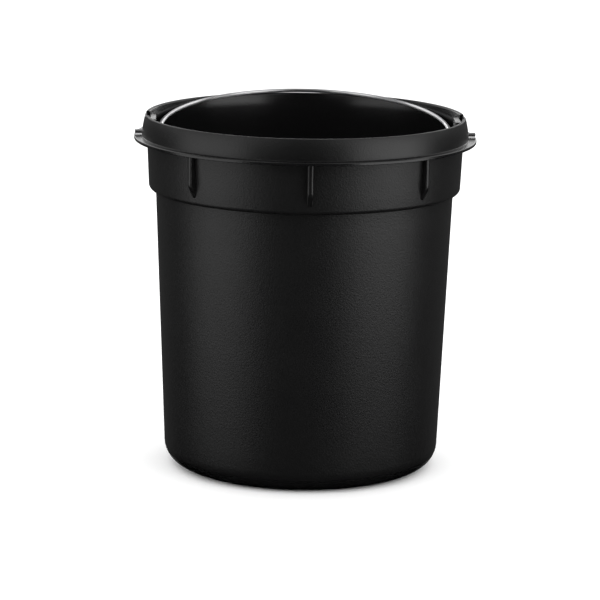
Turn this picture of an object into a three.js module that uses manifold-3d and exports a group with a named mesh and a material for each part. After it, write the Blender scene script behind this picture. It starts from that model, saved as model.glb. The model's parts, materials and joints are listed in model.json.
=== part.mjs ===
// A florist's bucket: one black moulded bucket and one bright wire bail handle that swings over it.
// Millimetres, +Z up. The origin is the centre of the circle that the bucket stands on, and the
// handle's pivot line runs along X.
import * as THREE from 'three';
import { mergeVertices } from 'three/addons/utils/BufferGeometryUtils.js';
import Module from 'manifold-3d';

const wasm = await Module();
wasm.setup();

// Driving dimensions of the bucket.
const HEIGHT = 278.2;
const RIM_RADIUS = 125.1;
const FLANGE_RADIUS = 133.9;
const FLANGE_TOP = 261.7;
const FLANGE_THICKNESS = 2.6;
const BAND_BOTTOM = 219.9;
const BASE_RADIUS = 107.75;
const BODY_DRAFT = 0.0403;
const BAND_STEP = 5.35;
const BAND_DRAFT = 0.045;
const WALL = 1.9;
const LATHE_SEGMENTS = 80;

// Driving dimensions of the handle.
const WIRE_RADIUS = 1.5;
const PIVOT_HEIGHT = 263.9;
const BAIL_RADIUS = 113.7;
const BAIL_LEG = 9;
const BAIL_TILT = 7.7;
const BAIL_END = 133.4;
const BEND_RADIUS = 3;
const HINGE_CLEARANCE = 0.35;

// Heights and radii worked out from them.
const FLANGE_UNDERSIDE = FLANGE_TOP - FLANGE_THICKNESS;
const bodyRadius = (z) => BASE_RADIUS + BODY_DRAFT * z;
const bandRadius = (z) => bodyRadius(BAND_BOTTOM) + BAND_STEP + BAND_DRAFT * (z - BAND_BOTTOM);

// The base stands on a ring, with a shallow recess inside it.
const RECESS_DEPTH = 1.6;
const RECESS_RADIUS = 80;
const RECESS_CHAMFER = 1.5;
const FLOOR = RECESS_DEPTH + WALL;
const CORNER_RADIUS = 18;

// Fillet radii at the band, the flange's edge and the rim.
const BAND_FILLET = 3.5;
const FLANGE_FILLET = { under: 0.5, top: 0.8 };
const RIM_FILLET = 1.5;

// The collar above the flange is thick at its foot, so a tapered groove cores it out from below.
const COLLAR_FOOT_RADIUS = 127.9;
const COLLAR_WAIST = { radius: 127.1, height: FLANGE_TOP + 7.8 };
const RIM_INNER_RADIUS = 122.5;
const COLLAR_INNER_WAIST = { radius: 121.1, height: FLANGE_TOP + 8.5, fillet: 35 };
const GROOVE = { inner: 124.4, outer: 126.3, depth: 9.5, topWidth: 0.8 };

// Turns a list of corners [radius, height, fillet] into an outline with round fillets.
function filletedOutline(corners, degreesPerStep) {
  const outline = [];
  corners.forEach(([r, z, fillet], i) => {
    const corner = new THREE.Vector2(r, z);
    if (!fillet) {
      outline.push(corner);
      return;
    }
    const [before, after] = [corners[i - 1], corners[i + 1]].map(([x, y]) => new THREE.Vector2(x, y));
    const toBefore = before.sub(corner).normalize();
    const toAfter = after.sub(corner).normalize();
    const halfAngle = Math.acos(THREE.MathUtils.clamp(toBefore.dot(toAfter), -1, 1)) / 2;
    const bisector = toBefore.clone().add(toAfter).normalize();
    const centre = corner.clone().addScaledVector(bisector, fillet / Math.sin(halfAngle));
    const start = corner.clone().addScaledVector(toBefore, fillet / Math.tan(halfAngle)).sub(centre);
    const side = Math.sign(start.clone().cross(bisector.clone().negate()));
    const sweep = Math.PI - 2 * halfAngle;
    const steps = Math.max(1, Math.round(THREE.MathUtils.radToDeg(sweep) / degreesPerStep));
    for (let k = 0; k <= steps; k += 1) {
      const angle = start.angle() + (side * sweep * k) / steps;
      outline.push(new THREE.Vector2(Math.cos(angle), Math.sin(angle)).multiplyScalar(fillet).add(centre));
    }
  });
  return outline;
}

// The bucket's section, from the middle of the underside, round the outside and back to the floor.
function bucketSection() {
  const outside = [
    [0, RECESS_DEPTH, 0],
    [RECESS_RADIUS - RECESS_CHAMFER, RECESS_DEPTH, 0],
    [RECESS_RADIUS, 0, 0],
    [bodyRadius(0), 0, CORNER_RADIUS],
    [bodyRadius(BAND_BOTTOM), BAND_BOTTOM, 0],
    [bandRadius(BAND_BOTTOM), BAND_BOTTOM, BAND_FILLET],
    [bandRadius(FLANGE_UNDERSIDE), FLANGE_UNDERSIDE, 0],
  ];
  const grooveTop = FLANGE_UNDERSIDE + GROOVE.depth;
  const rim = [
    [GROOVE.inner, FLANGE_UNDERSIDE, 0],
    [GROOVE.inner, grooveTop, 0],
    [GROOVE.inner + GROOVE.topWidth, grooveTop, 0],
    [GROOVE.outer, FLANGE_UNDERSIDE, 0],
    [FLANGE_RADIUS, FLANGE_UNDERSIDE, FLANGE_FILLET.under],
    [FLANGE_RADIUS, FLANGE_TOP, FLANGE_FILLET.top],
    [COLLAR_FOOT_RADIUS, FLANGE_TOP, 0],
    [COLLAR_WAIST.radius, COLLAR_WAIST.height, 0],
    [RIM_RADIUS, HEIGHT, RIM_FILLET],
    [RIM_INNER_RADIUS, HEIGHT, RIM_FILLET],
  ];
  const inside = [
    [COLLAR_INNER_WAIST.radius, COLLAR_INNER_WAIST.height, COLLAR_INNER_WAIST.fillet],
    [bandRadius(BAND_BOTTOM) - WALL, BAND_BOTTOM + WALL, BAND_FILLET - WALL],
    [bodyRadius(BAND_BOTTOM) - WALL, BAND_BOTTOM + WALL, WALL],
    [bodyRadius(FLOOR) - WALL, FLOOR, CORNER_RADIUS - WALL],
    [0, FLOOR, 0],
  ];
  return filletedOutline([...outside, ...rim, ...inside], 30);
}

// A closed three.js geometry as a manifold solid, for cutting and joining.
function toSolid(geometry) {
  const plain = geometry.clone();
  plain.deleteAttribute('normal');
  plain.deleteAttribute('uv');
  const merged = mergeVertices(plain, 1e-4);
  const vertProperties = new Float32Array(merged.getAttribute('position').array);
  const triVerts = new Uint32Array(merged.getIndex().array);
  return new wasm.Manifold(new wasm.Mesh({ numProp: 3, vertProperties, triVerts }));
}

// A manifold solid back as a three.js geometry.
function toGeometry(solid) {
  const mesh = solid.getMesh();
  const geometry = new THREE.BufferGeometry();
  geometry.setAttribute('position', new THREE.BufferAttribute(new Float32Array(mesh.vertProperties), 3));
  geometry.setIndex(new THREE.BufferAttribute(new Uint32Array(mesh.triVerts), 1));
  return geometry;
}

// Turns a geometry whose axis is Y, as three.js makes a lathe, so that its axis is Z.
const upright = (geometry) => geometry.rotateX(Math.PI / 2);

function shell() {
  return toSolid(upright(new THREE.LatheGeometry(bucketSection(), LATHE_SEGMENTS)));
}

// Six gussets hold up the flange. The two sides with the hinges have none.
const GUSSET = { thickness: 3.8, reach: 128.2, straightTo: 235.5, tip: 226.2 };
const GUSSET_ANGLES = [-135, -90, -45, 45, 90, 135];

// One gusset, standing out along +X: its round-nosed plan, cut to its tapering side view.
function gusset() {
  const half = GUSSET.thickness / 2;
  const root = bandRadius(GUSSET.tip) - 1;
  const plan = new THREE.Shape();
  plan.moveTo(root, -half);
  plan.absarc(GUSSET.reach - half, 0, half, -Math.PI / 2, Math.PI / 2, false);
  plan.lineTo(root, half);
  const top = FLANGE_UNDERSIDE + 1;
  const column = new THREE.ExtrudeGeometry(plan, {
    depth: top - GUSSET.tip,
    bevelEnabled: false,
    curveSegments: 3,
  });
  column.translate(0, 0, GUSSET.tip);
  const side = new THREE.Shape([
    new THREE.Vector2(root, GUSSET.tip),
    new THREE.Vector2(bandRadius(GUSSET.tip), GUSSET.tip),
    new THREE.Vector2(GUSSET.reach, GUSSET.straightTo),
    new THREE.Vector2(GUSSET.reach, top),
    new THREE.Vector2(root, top),
  ]);
  const slab = new THREE.ExtrudeGeometry(side, { depth: 2 * GUSSET.thickness, bevelEnabled: false });
  slab.translate(0, 0, -GUSSET.thickness);
  return toSolid(column).intersect(toSolid(slab.rotateX(Math.PI / 2)));
}

// Each hinge is a U-shaped lug inside the collar. A pocket behind its cheek opens through the rim,
// and the wire's end passes through the cheek, the pocket and the collar.
const LUG = { inner: 116.8, cheek: 4.2, outer: 122.2, width: 28, top: HEIGHT - 3, wall: 3 };
const POCKET = { radius: 123.2, width: LUG.width - 2 * LUG.wall, bottom: FLANGE_TOP - 0.5 };
const RIM_NOTCH = { radius: 124.2, width: 25, top: HEIGHT - 1.5 };

// A U-shaped plate with a round bottom, of a given half width and top, from x = near to x = far.
function uPlate(halfWidth, top, near, far) {
  const outline = new THREE.Shape();
  outline.moveTo(halfWidth, top);
  outline.lineTo(-halfWidth, top);
  outline.absarc(0, PIVOT_HEIGHT - 1, halfWidth, Math.PI, 2 * Math.PI, false);
  const plate = new THREE.ExtrudeGeometry(outline, {
    depth: far - near,
    bevelEnabled: false,
    curveSegments: 8,
  });
  // The outline's x is the part's y, its y is the part's z, and the plate grows along the part's x.
  const toSide = new THREE.Matrix4().makeBasis(
    new THREE.Vector3(0, 1, 0),
    new THREE.Vector3(0, 0, 1),
    new THREE.Vector3(1, 0, 0),
  );
  return toSolid(plate.applyMatrix4(toSide).translate(near, 0, 0));
}

// An upright block that starts at x = near and ends on a circle about the bucket's axis.
function sector(near, radius, width, bottom, top) {
  const halfAngle = Math.asin(width / 2 / radius);
  const plan = new THREE.Shape();
  plan.moveTo(near, -width / 2);
  plan.absarc(0, 0, radius, -halfAngle, halfAngle, false);
  plan.lineTo(near, width / 2);
  const column = new THREE.ExtrudeGeometry(plan, {
    depth: top - bottom,
    bevelEnabled: false,
    curveSegments: 4,
  });
  return toSolid(column.translate(0, 0, bottom));
}

function pivotHole() {
  const radius = WIRE_RADIUS + HINGE_CLEARANCE;
  const near = LUG.inner - 1;
  const far = COLLAR_FOOT_RADIUS + 1;
  const hole = new THREE.CylinderGeometry(radius, radius, far - near, 16);
  return toSolid(hole.rotateZ(Math.PI / 2).translate((near + far) / 2, 0, PIVOT_HEIGHT));
}

// Adds the hinge on the +X side, then cuts its pocket, the rim's notch and the pivot hole.
function withHinge(solid) {
  const above = HEIGHT + 5;
  const lug = uPlate(LUG.width / 2, LUG.top, LUG.inner, LUG.outer);
  const pocket = sector(LUG.inner + LUG.cheek, POCKET.radius, POCKET.width, POCKET.bottom, above);
  const notch = sector(LUG.inner, RIM_NOTCH.radius, RIM_NOTCH.width, LUG.top, above);
  const skinTrim = sector(LUG.inner, FLANGE_RADIUS, RIM_NOTCH.width, RIM_NOTCH.top, above);
  return solid.add(lug).subtract(pocket).subtract(notch).subtract(skinTrim).subtract(pivotHole());
}

function bucketGeometry() {
  let solid = shell();
  for (const angle of GUSSET_ANGLES) {
    solid = solid.add(gusset().rotate([0, 0, angle]));
  }
  for (const side of [0, 180]) {
    solid = withHinge(solid.rotate([0, 0, side])).rotate([0, 0, -side]);
  }
  return toGeometry(solid);
}

// The handle's centre line in its own plane, from one end to the other: each stretch has its own
// number of steps, so the tight bends are as smooth as the wide arc.
class WirePath extends THREE.Curve {
  constructor(stretches) {
    super();
    this.stretches = stretches;
    this.steps = stretches.reduce((sum, stretch) => sum + stretch.steps, 0);
  }

  getPoint(t, target = new THREE.Vector3()) {
    let step = THREE.MathUtils.clamp(t, 0, 1) * this.steps;
    let stretch = this.stretches[0];
    for (stretch of this.stretches) {
      if (step <= stretch.steps) break;
      step -= stretch.steps;
    }
    const point = stretch.curve.getPoint(Math.min(step / stretch.steps, 1));
    return target.set(point.x, point.y, 0);
  }

  // Stations are spaced by step, not by length.
  getUtoTmapping(u) {
    return u;
  }
}

function bailPath() {
  const line = (x0, y0, x1, y1) =>
    new THREE.LineCurve(new THREE.Vector2(x0, y0), new THREE.Vector2(x1, y1));
  const arc = (x, y, radius, from, to) =>
    new THREE.EllipseCurve(x, y, radius, radius, from, to, to < from, 0);
  const bendX = BAIL_RADIUS + BEND_RADIUS;
  const quarter = Math.PI / 2;
  return new WirePath([
    { steps: 2, curve: line(-BAIL_END, 0, -bendX, 0) },
    { steps: 5, curve: arc(-bendX, BEND_RADIUS, BEND_RADIUS, -quarter, 0) },
    { steps: 1, curve: line(-BAIL_RADIUS, BEND_RADIUS, -BAIL_RADIUS, BAIL_LEG) },
    { steps: 44, curve: arc(0, BAIL_LEG, BAIL_RADIUS, Math.PI, 0) },
    { steps: 1, curve: line(BAIL_RADIUS, BAIL_LEG, BAIL_RADIUS, BEND_RADIUS) },
    { steps: 5, curve: arc(bendX, BEND_RADIUS, BEND_RADIUS, Math.PI, 3 * quarter) },
    { steps: 2, curve: line(bendX, 0, BAIL_END, 0) },
  ]);
}

function bailGeometry() {
  const path = bailPath();
  const section = new THREE.Shape().absarc(0, 0, WIRE_RADIUS, 0, 2 * Math.PI, false);
  return new THREE.ExtrudeGeometry(section, {
    steps: path.steps,
    curveSegments: 6,
    extrudePath: path,
  });
}

function blackPolypropylene() {
  return new THREE.MeshStandardMaterial({ color: 0x161616, roughness: 0.5, metalness: 0 });
}

function brightWire() {
  return new THREE.MeshStandardMaterial({ color: 0xc8c8ca, roughness: 0.15, metalness: 1 });
}

function namedMesh(name, geometry, material) {
  const mesh = new THREE.Mesh(geometry, material);
  mesh.name = name;
  return mesh;
}

const bucket = namedMesh('bucket', bucketGeometry(), blackPolypropylene());

// At rest the handle is folded back, and its wire lies just inside and over the back of the rim.
const bail = namedMesh('bail_handle', bailGeometry(), brightWire());
bail.rotation.x = THREE.MathUtils.degToRad(BAIL_TILT);
bail.position.z = PIVOT_HEIGHT;

const floristBucket = new THREE.Group();
floristBucket.add(bucket, bail);

export default floristBucket;
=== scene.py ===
import json
import math

import bmesh
import bpy
from mathutils import Matrix, Vector

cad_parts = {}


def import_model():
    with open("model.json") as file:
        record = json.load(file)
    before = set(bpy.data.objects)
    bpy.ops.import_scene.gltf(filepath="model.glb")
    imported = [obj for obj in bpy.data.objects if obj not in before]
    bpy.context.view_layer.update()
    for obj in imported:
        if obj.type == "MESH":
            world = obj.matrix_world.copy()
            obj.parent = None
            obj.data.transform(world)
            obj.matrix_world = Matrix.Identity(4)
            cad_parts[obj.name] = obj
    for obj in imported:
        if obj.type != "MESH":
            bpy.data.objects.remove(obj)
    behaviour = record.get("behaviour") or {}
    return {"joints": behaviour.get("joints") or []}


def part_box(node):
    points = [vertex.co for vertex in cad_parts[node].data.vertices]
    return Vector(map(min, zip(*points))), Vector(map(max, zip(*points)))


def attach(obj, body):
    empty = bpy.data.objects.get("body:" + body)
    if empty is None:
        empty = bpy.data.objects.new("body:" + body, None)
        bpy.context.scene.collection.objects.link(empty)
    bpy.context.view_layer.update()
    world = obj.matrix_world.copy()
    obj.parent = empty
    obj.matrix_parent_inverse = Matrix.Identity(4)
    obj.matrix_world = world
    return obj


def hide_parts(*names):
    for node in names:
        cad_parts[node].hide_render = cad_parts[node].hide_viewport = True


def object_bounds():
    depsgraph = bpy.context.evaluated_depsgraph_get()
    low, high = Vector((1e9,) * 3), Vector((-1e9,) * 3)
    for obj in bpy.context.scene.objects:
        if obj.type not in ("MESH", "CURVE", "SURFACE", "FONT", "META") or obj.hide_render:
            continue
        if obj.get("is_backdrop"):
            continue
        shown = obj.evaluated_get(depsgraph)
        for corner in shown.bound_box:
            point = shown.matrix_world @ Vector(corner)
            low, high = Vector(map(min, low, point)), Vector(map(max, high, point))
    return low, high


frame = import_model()

# A florist's bucket and its bail handle, in metres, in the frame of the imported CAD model: +Z is up,
# the origin is the centre of the circle it stands on, and the handle's pivot line runs along X.
MM = 0.001
cad_low, cad_high = (corner.copy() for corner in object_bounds())
bucket_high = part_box("bucket")[1]
bail_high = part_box("bail_handle")[1]
hinge = next(joint for joint in frame["joints"] if joint["name"] == "bail_hinge")

# Driving dimensions of the bucket. The outermost ones come from the frame.
HEIGHT = bucket_high.z
FLANGE_RADIUS = bucket_high.x
RIM_RADIUS = FLANGE_RADIUS - 8.8 * MM
RIM_INNER_RADIUS = RIM_RADIUS - 2.6 * MM
FLANGE_TOP = HEIGHT - 16.5 * MM
FLANGE_UNDERSIDE = FLANGE_TOP - 2.6 * MM
BAND_BOTTOM = HEIGHT - 58.3 * MM
BASE_RADIUS = FLANGE_RADIUS - 26.15 * MM
BODY_DRAFT = 0.0403
BAND_STEP = 5.35 * MM
BAND_DRAFT = 0.045
WALL = 1.9 * MM
RECESS_DEPTH = 1.6 * MM
RECESS_RADIUS = 80 * MM
RECESS_SLOPE = 1.5 * MM
FLOOR = RECESS_DEPTH + WALL
COLLAR_FOOT_RADIUS = FLANGE_RADIUS - 6 * MM
COLLAR_WAIST = Vector((COLLAR_FOOT_RADIUS - 0.8 * MM, FLANGE_TOP + 7.8 * MM))
COLLAR_INNER_WAIST = Vector((COLLAR_FOOT_RADIUS - 6.8 * MM, FLANGE_TOP + 8.5 * MM))
GROOVE_INNER = COLLAR_FOOT_RADIUS - 3.5 * MM
GROOVE_OUTER = COLLAR_FOOT_RADIUS - 1.6 * MM
GROOVE_TOP = FLANGE_UNDERSIDE + 9.5 * MM
GROOVE_TOP_WIDTH = 0.8 * MM

# Fillets of the bucket's section.
RECESS_FILLET = 1 * MM
RECESS_EDGE_FILLET = 0.6 * MM
CORNER_RADIUS = 18 * MM
BAND_ROOT_FILLET = 0.6 * MM
BAND_FILLET = 3.5 * MM
BAND_TOP_FILLET = 0.3 * MM
GROOVE_FILLET = 0.2 * MM
FLANGE_LOWER_FILLET = 0.5 * MM
FLANGE_UPPER_FILLET = 0.8 * MM
COLLAR_FOOT_FILLET = 0.4 * MM
COLLAR_FLARE = 60 * MM
COLLAR_INNER_FLARE = 35 * MM
RIM_FILLET = 1.5 * MM
RIM_OUTER_FILLET = 0.6 * MM
INNER_BAND_FILLET = 2 * MM
INNER_STEP_FILLET = 1.5 * MM

# Driving dimensions of the gussets and the hinges.
GUSSET_HALF = 1.9 * MM
GUSSET_NOSE = 0.9 * MM
GUSSET_REACH = FLANGE_RADIUS - 5.7 * MM
GUSSET_TIP = BAND_BOTTOM + 6.3 * MM
GUSSET_STRAIGHT_TO = BAND_BOTTOM + 15.6 * MM
GUSSET_ROOT_FILLET = 0.2 * MM
GUSSET_SUNK = 0.7 * MM
GUSSET_ANGLES = (-135, -90, -45, 45, 90, 135)
GUSSET_BEND = 8 * MM
LUG_INNER = RIM_INNER_RADIUS - 5.7 * MM
LUG_CHEEK = 4.2 * MM
LUG_OUTER = LUG_INNER + 5.4 * MM
LUG_WIDTH = 28 * MM
LUG_WALL = 3 * MM
LUG_TOP = HEIGHT - 3 * MM
LUG_CORNER_FILLET = 0.8 * MM
LUG_EDGE_FILLET = 0.5 * MM
LUG_BELOW_PIVOT = 1 * MM
POCKET_RADIUS = LUG_OUTER + 1 * MM
POCKET_BOTTOM = FLANGE_TOP - 0.5 * MM
RIM_NOTCH_RADIUS = POCKET_RADIUS + 1 * MM
RIM_NOTCH_WIDTH = 25 * MM
RIM_NOTCH_TOP = HEIGHT - 1.5 * MM
HINGE_CLEARANCE = 0.35 * MM

# Driving dimensions of the handle.
PIVOT_HEIGHT = hinge["pos_m"][2]
WIRE_RADIUS = 1.485 * MM
WIRE_CHAMFER = 0.25 * MM
BAIL_END = bail_high.x
BEND_RADIUS = 3 * MM
BAIL_RADIUS = LUG_INNER - BEND_RADIUS - 0.1 * MM
BAIL_LEG = 9 * MM
BAIL_TILT = math.radians(7.7)

# How finely the round shapes are cut up, how far a cutter runs past what it cuts, and what counts as
# no distance.
SEGMENTS = 320
SECTION_DEGREES = 9
GUSSET_DEGREES = 4
LUG_DEGREES = 15
LONGEST_FACE = 12 * MM
LONGEST_GUSSET_FACE = 1.5 * MM
GUSSET_STEPS = 18
LUG_STEPS = 24
LUG_EDGE_STEPS = 4
HOLE_SIDES = 40
BEND_STEPS = 12
BAIL_STEPS = 160
WIRE_SIDES = 32
OVERSHOOT = 1 * MM
CLOSE = 0.05 * MM

# How polished the mould was, from 0 where it was spark-eroded to 1 where it was smooth, and the depth
# of the rim's crown, which is spark-eroded.
POLISH = "mould_polish"
INSIDE_POLISH = 1
COLLAR_INSIDE_POLISH = 0.8
FLANGE_POLISH = 0.8
GUSSET_POLISH = 0.4
COLLAR_POLISH = 0.27
RIM_CROWN = RIM_FILLET / 3

# Looks. A pair is the two ends of a range, except that a noise's pair is its scale and its detail. An
# edge is hard where its faces meet at more than BUCKET_SHARP or WIRE_SHARP degrees.
BLACK = (0.0032, 0.0032, 0.0033, 1)
PLASTIC_IOR = 1.49
GRAINED_ROUGHNESS = (0.38, 0.48)
SMOOTH_ROUGHNESS = (0.15, 0.21)
MOTTLE_NOISE = (35, 3)
GRAIN_NOISE = (750, 2)
GRAIN_DEPTH = 0.3 * MM
GRAIN_STRENGTH = (0.6, 0.1)
BUCKET_SHARP = 30
STEEL = (0.95, 0.95, 0.96, 1)
STEEL_ROUGHNESS = (0.30, 0.36)
STREAK_NOISE = (220, 3)
WIRE_MAP = "round_and_along"
WIRE_SHARP = 40
PALE = (0.86, 0.86, 0.86, 1)
PALE_ROUGHNESS = 0.9
PALE_SHINE = 0.1
WHITE = (1, 1, 1, 1)

# The studio.
CAMERA_DISTANCE = 2.4479
CAMERA_HEIGHT = 0.6378
CAMERA_OFF_CENTRE = -0.0021
AIM_HEIGHT = 0.1302
CAMERA_TURN = math.radians(-2.0)
CAMERA_ROLL = math.radians(0.91)
LENS = 189.6
SENSOR_WIDTH = 36
GROUND_HALF = 30
WORLD_STRENGTH = 1.2
OVERHEAD_HEIGHT = 2.4
OVERHEAD_WIDTH = 4.0
OVERHEAD_POWER = 15

# Each softbox's azimuth in degrees from the camera's side, its distance, lower edge, upper edge and
# width, and its power in watts.
SOFTBOXES = {
    "left_softbox": (-64, 0.8, -0.12, 0.52, 0.74, 1.85),
    "right_softbox": (59, 0.8, -0.02, 0.54, 0.77, 2.6),
    "high_left_softbox": (-42, 1.6, 0.85, 2.4, 1.3, 7),
    "high_right_softbox": (42, 1.6, 0.85, 2.4, 1.3, 7),
    "left_back_softbox": (-130, 2.0, 0.62, 2.8, 2.8, 19),
    "right_back_softbox": (130, 2.0, 0.62, 2.8, 2.8, 19),
    "back_strip": (180, 4.5, 0.55, 1.9, 6.0, 38),
    "dim_backdrop": (180, 1.5, -0.8, 0.35, 6.0, 1.8),
}


def body_radius(z):
    """The outside of the tapered body at a height."""
    return BASE_RADIUS + BODY_DRAFT * z


def band_radius(z):
    """The outside of the wider band at a height."""
    return body_radius(BAND_BOTTOM) + BAND_STEP + BAND_DRAFT * (z - BAND_BOTTOM)


# Outlines and meshes.


def filleted(corners, degrees_per_step):
    """The outline through corners (x, y, fillet radius), with round fillets."""
    outline = []
    for i, (x, y, fillet) in enumerate(corners):
        corner = Vector((x, y))
        if not fillet:
            outline.append(corner)
            continue
        to_before = (Vector(corners[i - 1][:2]) - corner).normalized()
        to_after = (Vector(corners[(i + 1) % len(corners)][:2]) - corner).normalized()
        half_angle = to_before.angle(to_after) / 2
        centre = corner + (to_before + to_after).normalized() * (fillet / math.sin(half_angle))
        start = corner + to_before * (fillet / math.tan(half_angle)) - centre
        end = corner + to_after * (fillet / math.tan(half_angle)) - centre
        sweep = start.angle_signed(end)
        steps = max(2, round(math.degrees(abs(sweep)) / degrees_per_step))
        for k in range(steps + 1):
            outline.append(centre + Matrix.Rotation(-sweep * k / steps, 2) @ start)
    return outline


def with_even_faces(outline, longest):
    """The same open outline, with no stretch of it longer than a given length."""
    points = [outline[0]]
    for before, after in zip(outline, outline[1:]):
        steps = max(1, math.ceil((after - before).length / longest))
        points += [before.lerp(after, k / steps) for k in range(1, steps + 1)]
    return points


def arc(centre, radius, start, end, steps):
    """Points round a circle in a plane, from one angle in degrees to another."""
    points = []
    for k in range(steps + 1):
        turn = math.radians(start + (end - start) * k / steps)
        points.append(centre + radius * Vector((math.cos(turn), math.sin(turn))))
    return points


def circle(radius, z, count):
    """Points all round the Z axis."""
    turns = [2 * math.pi * i / count for i in range(count)]
    return [Vector((radius * math.cos(t), radius * math.sin(t), z)) for t in turns]


def add_loft(bm, rings, caps=True):
    """Adds a skin over rings of the same number of points, with or without caps on its ends."""
    made = [[bm.verts.new(p) for p in ring] for ring in rings]
    for lower, upper in zip(made, made[1:]):
        count = len(lower)
        for i in range(count):
            j = (i + 1) % count
            bm.faces.new((lower[i], lower[j], upper[j], upper[i]))
    if caps:
        bm.faces.new(reversed(made[0]))
        bm.faces.new(made[-1])
    return made


def add_pole(bm, ring, point):
    """Closes a ring of vertices with a fan of triangles to one point."""
    pole = bm.verts.new(point)
    for i, vertex in enumerate(ring):
        bm.faces.new((pole, vertex, ring[(i + 1) % len(ring)]))


def object_from(bm, name):
    """A scene object from a bmesh, with its faces turned outward."""
    bmesh.ops.recalc_face_normals(bm, faces=bm.faces)
    mesh = bpy.data.meshes.new(name)
    bm.to_mesh(mesh)
    bm.free()
    made = bpy.data.objects.new(name, mesh)
    bpy.context.scene.collection.objects.link(made)
    return made


def lofted_object(rings_list, name):
    """One object with a closed skin over each list of rings."""
    bm = bmesh.new()
    for rings in rings_list:
        add_loft(bm, rings)
    return object_from(bm, name)


def boolean(target, other, operation):
    """Joins other to target or cuts it away, and removes other."""
    modifier = target.modifiers.new(operation, "BOOLEAN")
    modifier.operation = operation
    modifier.solver = "MANIFOLD"
    modifier.object = other
    graph = bpy.context.evaluated_depsgraph_get()
    mesh = bpy.data.meshes.new_from_object(target.evaluated_get(graph))
    target.modifiers.clear()
    spent = [target.data, other.data]
    target.data = mesh
    bpy.data.objects.remove(other)
    for old in spent:
        bpy.data.meshes.remove(old)


# The bucket.


def bucket_section():
    """The section from the middle of the underside, round the outside and back to the floor."""
    corners = [
        (0, RECESS_DEPTH, 0),
        (RECESS_RADIUS - RECESS_SLOPE, RECESS_DEPTH, RECESS_FILLET),
        (RECESS_RADIUS, 0, RECESS_EDGE_FILLET),
        (body_radius(0), 0, CORNER_RADIUS),
        (body_radius(BAND_BOTTOM), BAND_BOTTOM, BAND_ROOT_FILLET),
        (band_radius(BAND_BOTTOM), BAND_BOTTOM, BAND_FILLET),
        (band_radius(FLANGE_UNDERSIDE), FLANGE_UNDERSIDE, BAND_TOP_FILLET),
        (GROOVE_INNER, FLANGE_UNDERSIDE, GROOVE_FILLET),
        (GROOVE_INNER, GROOVE_TOP, GROOVE_FILLET),
        (GROOVE_INNER + GROOVE_TOP_WIDTH, GROOVE_TOP, GROOVE_FILLET),
        (GROOVE_OUTER, FLANGE_UNDERSIDE, GROOVE_FILLET),
        (FLANGE_RADIUS, FLANGE_UNDERSIDE, FLANGE_LOWER_FILLET),
        (FLANGE_RADIUS, FLANGE_TOP, FLANGE_UPPER_FILLET),
        (COLLAR_FOOT_RADIUS, FLANGE_TOP, COLLAR_FOOT_FILLET),
        (*COLLAR_WAIST, COLLAR_FLARE),
        (RIM_RADIUS, HEIGHT, RIM_OUTER_FILLET),
        (RIM_INNER_RADIUS, HEIGHT, RIM_FILLET),
        (*COLLAR_INNER_WAIST, COLLAR_INNER_FLARE),
        (band_radius(BAND_BOTTOM) - WALL, BAND_BOTTOM + WALL, INNER_BAND_FILLET),
        (body_radius(BAND_BOTTOM) - WALL, BAND_BOTTOM + WALL, INNER_STEP_FILLET),
        (body_radius(FLOOR) - WALL, FLOOR, CORNER_RADIUS - WALL),
        (0, FLOOR, 0),
    ]
    return with_even_faces(filleted(corners, SECTION_DEGREES), LONGEST_FACE)


def shell():
    """The bucket's wall, floor, band, flange and collar, turned round the Z axis."""
    first, *section, last = bucket_section()
    bm = bmesh.new()
    rings = add_loft(bm, [circle(p.x, p.y, SEGMENTS) for p in section], caps=False)
    add_pole(bm, rings[0], (0, 0, first.y))
    add_pole(bm, rings[-1], (0, 0, last.y))
    return object_from(bm, "bucket_moulding")


def gusset_ring(z, reach, angle):
    """One level of a gusset: a blunt oval nose, straight cheeks and fillets where it meets the band."""
    wall = band_radius(z)
    depth = max(reach - wall, 0)
    flare = min(GUSSET_ROOT_FILLET, depth)
    half = []
    for i in range(GUSSET_STEPS + 1):
        x = depth * (1 - math.cos(math.pi * i / GUSSET_STEPS)) / 2
        past_nose = max(0, x - (depth - GUSSET_NOSE)) / GUSSET_NOSE
        width = GUSSET_HALF * math.sqrt(max(1 - past_nose**2, 0))
        into_fillet = max(0, flare - x)
        width += flare - math.sqrt(max(flare**2 - into_fillet**2, 0))
        half.append((min(wall + x, reach), width))
    root_width = half[0][1]
    side = [(wall - GUSSET_SUNK, root_width), (min(reach, wall) - CLOSE, root_width), *half[1:-1]]
    outline = [(x, -y) for x, y in side] + [(reach, 0)] + [(x, y) for x, y in reversed(side)]
    turn = Matrix.Rotation(math.radians(angle), 3, "Z")
    return [turn @ Vector((x, y, z)) for x, y in outline]


def gusset_rings(angle):
    """A gusset from inside the flange down to its tip: upright at first, then tapering into the band."""
    top_in_flange = FLANGE_UNDERSIDE + 1 * MM
    tip_in_band = GUSSET_TIP - 0.4 * MM
    corners = [
        (GUSSET_REACH, top_in_flange, 0),
        (GUSSET_REACH, GUSSET_STRAIGHT_TO, GUSSET_BEND),
        (band_radius(tip_in_band) - 0.3 * MM, tip_in_band, 0),
    ]
    nose = with_even_faces(filleted(corners, GUSSET_DEGREES), LONGEST_GUSSET_FACE)
    return [gusset_ring(p.y, p.x, angle) for p in nose]


def u_outline(half_width, top):
    """A U standing on its round end, about the pivot line, with rounded upper corners."""
    corners = [(half_width, PIVOT_HEIGHT, 0), (half_width, top, LUG_CORNER_FILLET), (0, top, 0)]
    upright = filleted(corners, LUG_DEGREES)[:-1]
    mirrored = [Vector((-p.x, p.y)) for p in reversed(upright)]
    low_centre = Vector((0, PIVOT_HEIGHT - LUG_BELOW_PIVOT))
    return upright + mirrored + arc(low_centre, half_width, 180, 360, LUG_STEPS)


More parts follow.
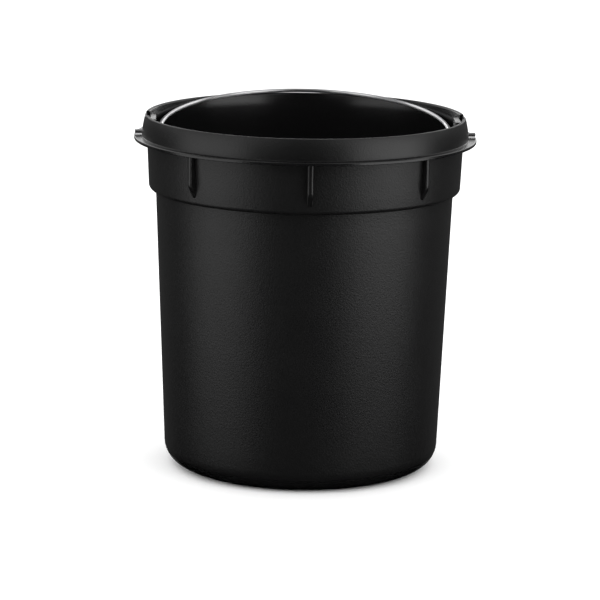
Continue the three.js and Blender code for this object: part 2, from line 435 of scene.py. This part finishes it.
def lug():
    """Rings of the U-shaped hinge lug across the +X side, with its near edge rounded off."""
    half_width = LUG_WIDTH / 2
    stations = []
    for k in range(LUG_EDGE_STEPS + 1):
        turn = math.pi / 2 * k / LUG_EDGE_STEPS
        inset = LUG_EDGE_FILLET * (1 - math.sin(turn))
        stations.append((LUG_INNER + LUG_EDGE_FILLET * (1 - math.cos(turn)), inset))
    stations.append((LUG_OUTER, 0))
    return [
        [Vector((x, p.x, p.y)) for p in u_outline(half_width - inset, LUG_TOP - inset)]
        for x, inset in stations
    ]


def sector(near, radius, width, bottom, top):
    """Rings of an upright block from x = near to a circle about the Z axis, on the +X side."""
    half_angle = math.degrees(math.asin(width / 2 / radius))
    plan = [Vector((near, -width / 2)), Vector((near, width / 2))]
    plan += arc(Vector((0, 0)), radius, half_angle, -half_angle, LUG_STEPS)
    return [[Vector((p.x, p.y, z)) for p in plan] for z in (bottom, top)]


def pivot_hole():
    """Rings of the hole through the lug's cheek and the collar."""
    outline = circle(WIRE_RADIUS + HINGE_CLEARANCE, 0, HOLE_SIDES)
    ends = (LUG_INNER - OVERSHOOT, COLLAR_FOOT_RADIUS + OVERSHOOT)
    return [[Vector((x, p.x, PIVOT_HEIGHT + p.y)) for p in outline] for x in ends]


def hinge_cuts():
    """What is cut out on the +X side: the lug's pocket, the rim's notch and its trim, and the hole."""
    above = HEIGHT + OVERSHOOT
    behind_cheek = LUG_INNER + LUG_CHEEK
    before_lug = LUG_INNER - OVERSHOOT
    pocket = sector(behind_cheek, POCKET_RADIUS, LUG_WIDTH - 2 * LUG_WALL, POCKET_BOTTOM, above)
    notch = sector(before_lug, RIM_NOTCH_RADIUS, RIM_NOTCH_WIDTH, LUG_TOP, above)
    trim = sector(before_lug, FLANGE_RADIUS, RIM_NOTCH_WIDTH, RIM_NOTCH_TOP, above)
    return [pocket, notch, trim, pivot_hole()]


def on_both_sides(rings):
    """Rings made for the +X side, and the same turned to the -X side."""
    return [rings, [[Vector((-p.x, -p.y, p.z)) for p in ring] for ring in rings]]


def bucket_mesh():
    """The shell with its gussets and lugs joined on and its pockets, notches and holes cut out."""
    bucket = shell()
    added = [gusset_rings(angle) for angle in GUSSET_ANGLES] + on_both_sides(lug())
    boolean(bucket, lofted_object(added, "gussets_and_lugs"), "UNION")
    for cut in hinge_cuts():
        boolean(bucket, lofted_object(on_both_sides(cut), "cutter"), "DIFFERENCE")
    mark_polish(bucket)
    return bucket


def mould_polish(radius, z):
    """How polished the mould was at a point. It is 0 on the rim's crown, body, band and base."""
    outside = body_radius(z) if z < BAND_BOTTOM + WALL else band_radius(z)
    if z > HEIGHT - RIM_CROWN:
        return 0
    if z > RECESS_DEPTH + WALL / 2 and radius < outside - WALL / 2:
        return INSIDE_POLISH if z < FLANGE_TOP else COLLAR_INSIDE_POLISH
    if z > FLANGE_TOP + CLOSE:
        return COLLAR_POLISH
    if z < FLANGE_UNDERSIDE + CLOSE:
        return GUSSET_POLISH if GUSSET_TIP < z and radius > band_radius(z) + CLOSE else 0
    return FLANGE_POLISH if radius > COLLAR_FOOT_RADIUS - CLOSE else 0


def mark_polish(bucket):
    """Keeps the mould's polish at every vertex, for the material to read."""
    mesh = bucket.data
    marks = mesh.attributes.new(POLISH, "FLOAT", "POINT")
    for vertex, mark in zip(mesh.vertices, marks.data):
        mark.value = mould_polish(vertex.co.xy.length, vertex.co.z)


# The handle.


def bail_line():
    """The handle's centre line in its own plane, from one end to the other."""
    bend = BAIL_RADIUS + BEND_RADIUS
    left = [Vector((-BAIL_END, 0)), Vector((-(bend + BAIL_END) / 2, 0))]
    left += arc(Vector((-bend, BEND_RADIUS)), BEND_RADIUS, -90, 0, BEND_STEPS)
    right = [Vector((-p.x, p.y)) for p in reversed(left)]
    return left + arc(Vector((0, BAIL_LEG)), BAIL_RADIUS, 180, 0, BAIL_STEPS) + right


def wire_ring(point, along, radius):
    """A ring round the handle's centre line, laid back at the handle's rest angle."""
    lay = Matrix.Translation((0, 0, PIVOT_HEIGHT)) @ Matrix.Rotation(BAIL_TILT, 4, "X")
    across = Vector((-along.y, along.x, 0))
    upright = Vector((0, 0, 1))
    ring = []
    for i in range(WIRE_SIDES):
        turn = 2 * math.pi * i / WIRE_SIDES
        offset = across * math.cos(turn) + upright * math.sin(turn)
        ring.append(lay @ (Vector((point.x, point.y, 0)) + offset * radius))
    return ring


def chamfered_end(end, inward):
    """The two rings of a cut end of the wire, from its narrowed face inward."""
    narrow = (end, WIRE_RADIUS - WIRE_CHAMFER)
    full = (end + inward * WIRE_CHAMFER, WIRE_RADIUS)
    return [narrow, full]


def bail_mesh():
    """The wire swept along its centre line, with a small chamfer on its cut ends."""
    line = bail_line()
    first = (line[1] - line[0]).normalized()
    last = (line[-1] - line[-2]).normalized()
    near_end = chamfered_end(line[0], first)
    rings = [wire_ring(point, first, radius) for point, radius in near_end]
    for before, point, after in zip(line, line[1:], line[2:]):
        rings.append(wire_ring(point, (after - before).normalized(), WIRE_RADIUS))
    far_end = reversed(chamfered_end(line[-1], -last))
    rings += [wire_ring(point, last, radius) for point, radius in far_end]
    wire = lofted_object([rings], "bail_wire")
    wrap(wire)
    return wire


def wrap(wire):
    """Maps the wire: u goes round each of its rings, and v goes from ring to ring."""
    mesh = wire.data
    places = mesh.uv_layers.new(name=WIRE_MAP).data
    for face in mesh.polygons:
        corners = [divmod(mesh.loops[loop].vertex_index, WIRE_SIDES) for loop in face.loop_indices]
        over_seam = {0, WIRE_SIDES - 1} <= {place for _, place in corners}
        for loop, (ring, place) in zip(face.loop_indices, corners):
            round_to = WIRE_SIDES if over_seam and place == 0 else place
            places[loop].uv = (round_to / WIRE_SIDES, ring)


# Materials.


def material(name):
    """A new material, its nodes, its links and its shader."""
    made = bpy.data.materials.new(name)
    made.use_nodes = True
    nodes = made.node_tree.nodes
    return made, nodes, made.node_tree.links, nodes["Principled BSDF"]


def noise(nodes, links, scale, detail):
    """Noise that is fixed to the object, from 0 to 1."""
    where = nodes.new("ShaderNodeTexCoord")
    made = nodes.new("ShaderNodeTexNoise")
    made.inputs["Scale"].default_value = scale
    made.inputs["Detail"].default_value = detail
    links.new(where.outputs["Object"], made.inputs["Vector"])
    return made.outputs["Fac"]


def remap(nodes, links, value, ends):
    """A value from 0 to 1 spread between two ends."""
    made = nodes.new("ShaderNodeMapRange")
    made.inputs["To Min"].default_value, made.inputs["To Max"].default_value = ends
    links.new(value, made.inputs["Value"])
    return made.outputs["Result"]


def black_polypropylene():
    """Black moulded polypropylene with the fine spark-eroded grain of its mould."""
    made, nodes, links, shader = material("black_polypropylene")
    shader.inputs["Base Color"].default_value = BLACK
    shader.inputs["IOR"].default_value = PLASTIC_IOR
    polish = nodes.new("ShaderNodeAttribute")
    polish.attribute_name = POLISH
    mottle = noise(nodes, links, *MOTTLE_NOISE)
    roughness = nodes.new("ShaderNodeMix")
    links.new(polish.outputs["Fac"], roughness.inputs["Factor"])
    links.new(remap(nodes, links, mottle, GRAINED_ROUGHNESS), roughness.inputs["A"])
    links.new(remap(nodes, links, mottle, SMOOTH_ROUGHNESS), roughness.inputs["B"])
    links.new(roughness.outputs["Result"], shader.inputs["Roughness"])
    bump = nodes.new("ShaderNodeBump")
    bump.inputs["Distance"].default_value = GRAIN_DEPTH
    links.new(remap(nodes, links, polish.outputs["Fac"], GRAIN_STRENGTH), bump.inputs["Strength"])
    links.new(noise(nodes, links, *GRAIN_NOISE), bump.inputs["Height"])
    links.new(bump.outputs["Normal"], shader.inputs["Normal"])
    return made


def bright_wire():
    """Bright drawn steel wire: fine die lines along it spread its highlights round it."""
    made, nodes, links, shader = material("bright_wire")
    shader.inputs["Base Color"].default_value = STEEL
    shader.inputs["Metallic"].default_value = 1
    shader.inputs["Anisotropic"].default_value = 1
    streak = noise(nodes, links, *STREAK_NOISE)
    links.new(remap(nodes, links, streak, STEEL_ROUGHNESS), shader.inputs["Roughness"])
    round_the_wire = nodes.new("ShaderNodeTangent")
    round_the_wire.direction_type = "UV_MAP"
    round_the_wire.uv_map = WIRE_MAP
    links.new(round_the_wire.outputs["Tangent"], shader.inputs["Tangent"])
    return made


def pale_floor():
    """A plain pale surface with hardly any shine."""
    made, _, _, shader = material("pale_floor")
    shader.inputs["Base Color"].default_value = PALE
    shader.inputs["Roughness"].default_value = PALE_ROUGHNESS
    shader.inputs["Specular IOR Level"].default_value = PALE_SHINE
    return made


def smooth_shading(piece, sharp_degrees):
    """Smooth shading, broken only where faces meet more sharply than a given angle."""
    mesh = piece.data
    for face in mesh.polygons:
        face.use_smooth = True
    mesh.set_sharp_from_angle(angle=math.radians(sharp_degrees))


def show(piece, body, node, sharp_degrees, look):
    """Gives a piece its look, ties it to its body and hides the CAD part that it stands in for."""
    smooth_shading(piece, sharp_degrees)
    piece.data.materials.clear()
    piece.data.materials.append(look)
    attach(piece, body)
    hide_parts(node)


# The studio.


def camera():
    """A long lens in front of the bucket, a little above it, aimed just below its middle."""
    turn = Matrix.Rotation(CAMERA_TURN, 4, "Z")
    place = turn @ Vector((CAMERA_OFF_CENTRE, -CAMERA_DISTANCE, CAMERA_HEIGHT))
    aim = turn @ Vector((CAMERA_OFF_CENTRE, 0, AIM_HEIGHT))
    data = bpy.data.cameras.new("camera")
    data.lens = LENS
    data.sensor_width = SENSOR_WIDTH
    made = bpy.data.objects.new("camera", data)
    made.matrix_world = (
        Matrix.Translation(place)
        @ (aim - place).to_track_quat("-Z", "Y").to_matrix().to_4x4()
        @ Matrix.Rotation(CAMERA_ROLL, 4, "Z")
    )
    bpy.context.scene.collection.objects.link(made)
    bpy.context.scene.camera = made


def area_light(name, place, rotation, width, height, power):
    """A rectangular light that lights the bucket but isn't seen itself."""
    data = bpy.data.lights.new(name, "AREA")
    data.shape = "RECTANGLE"
    data.size = width
    data.size_y = height
    data.energy = power
    made = bpy.data.objects.new(name, data)
    made.location = place
    made.rotation_euler = rotation
    made.visible_camera = False
    bpy.context.scene.collection.objects.link(made)


def softbox(name, azimuth, distance, low, high, width, power):
    """An upright light that faces the bucket, between two heights."""
    turn = math.radians(azimuth) + CAMERA_TURN
    outward = Vector((math.sin(turn), -math.cos(turn), 0))
    place = outward * distance + Vector((0, 0, (low + high) / 2))
    rotation = (-outward).to_track_quat("-Z", "Y").to_euler()
    area_light(name, place, rotation, width, high - low, power)


def floor():
    """The plain floor, left out of reflections and shadows so that the bucket's sides stay dark."""
    bm = bmesh.new()
    bmesh.ops.create_grid(bm, x_segments=1, y_segments=1, size=GROUND_HALF)
    made = object_from(bm, "floor")
    made.data.materials.append(pale_floor())
    made.visible_glossy = False
    made.visible_shadow = False
    made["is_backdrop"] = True


def world():
    """An even white surround that isn't reflected."""
    made = bpy.data.worlds.new("studio")
    bpy.context.scene.world = made
    made.use_nodes = True
    background = made.node_tree.nodes["Background"]
    background.inputs["Color"].default_value = WHITE
    background.inputs["Strength"].default_value = WORLD_STRENGTH
    made.cycles_visibility.glossy = False


def studio():
    """The softboxes, the overhead light, the surround and the plain colour response."""
    for name, settings in SOFTBOXES.items():
        softbox(name, *settings)
    overhead = (0, 0, OVERHEAD_HEIGHT)
    area_light("top_softbox", overhead, (0, 0, 0), OVERHEAD_WIDTH, OVERHEAD_WIDTH, OVERHEAD_POWER)
    world()
    bpy.context.scene.view_settings.view_transform = "Standard"


show(bucket_mesh(), "bucket", "bucket", BUCKET_SHARP, black_polypropylene())
show(bail_mesh(), "bail", "bail_handle", WIRE_SHARP, bright_wire())
floor()
studio()
camera()
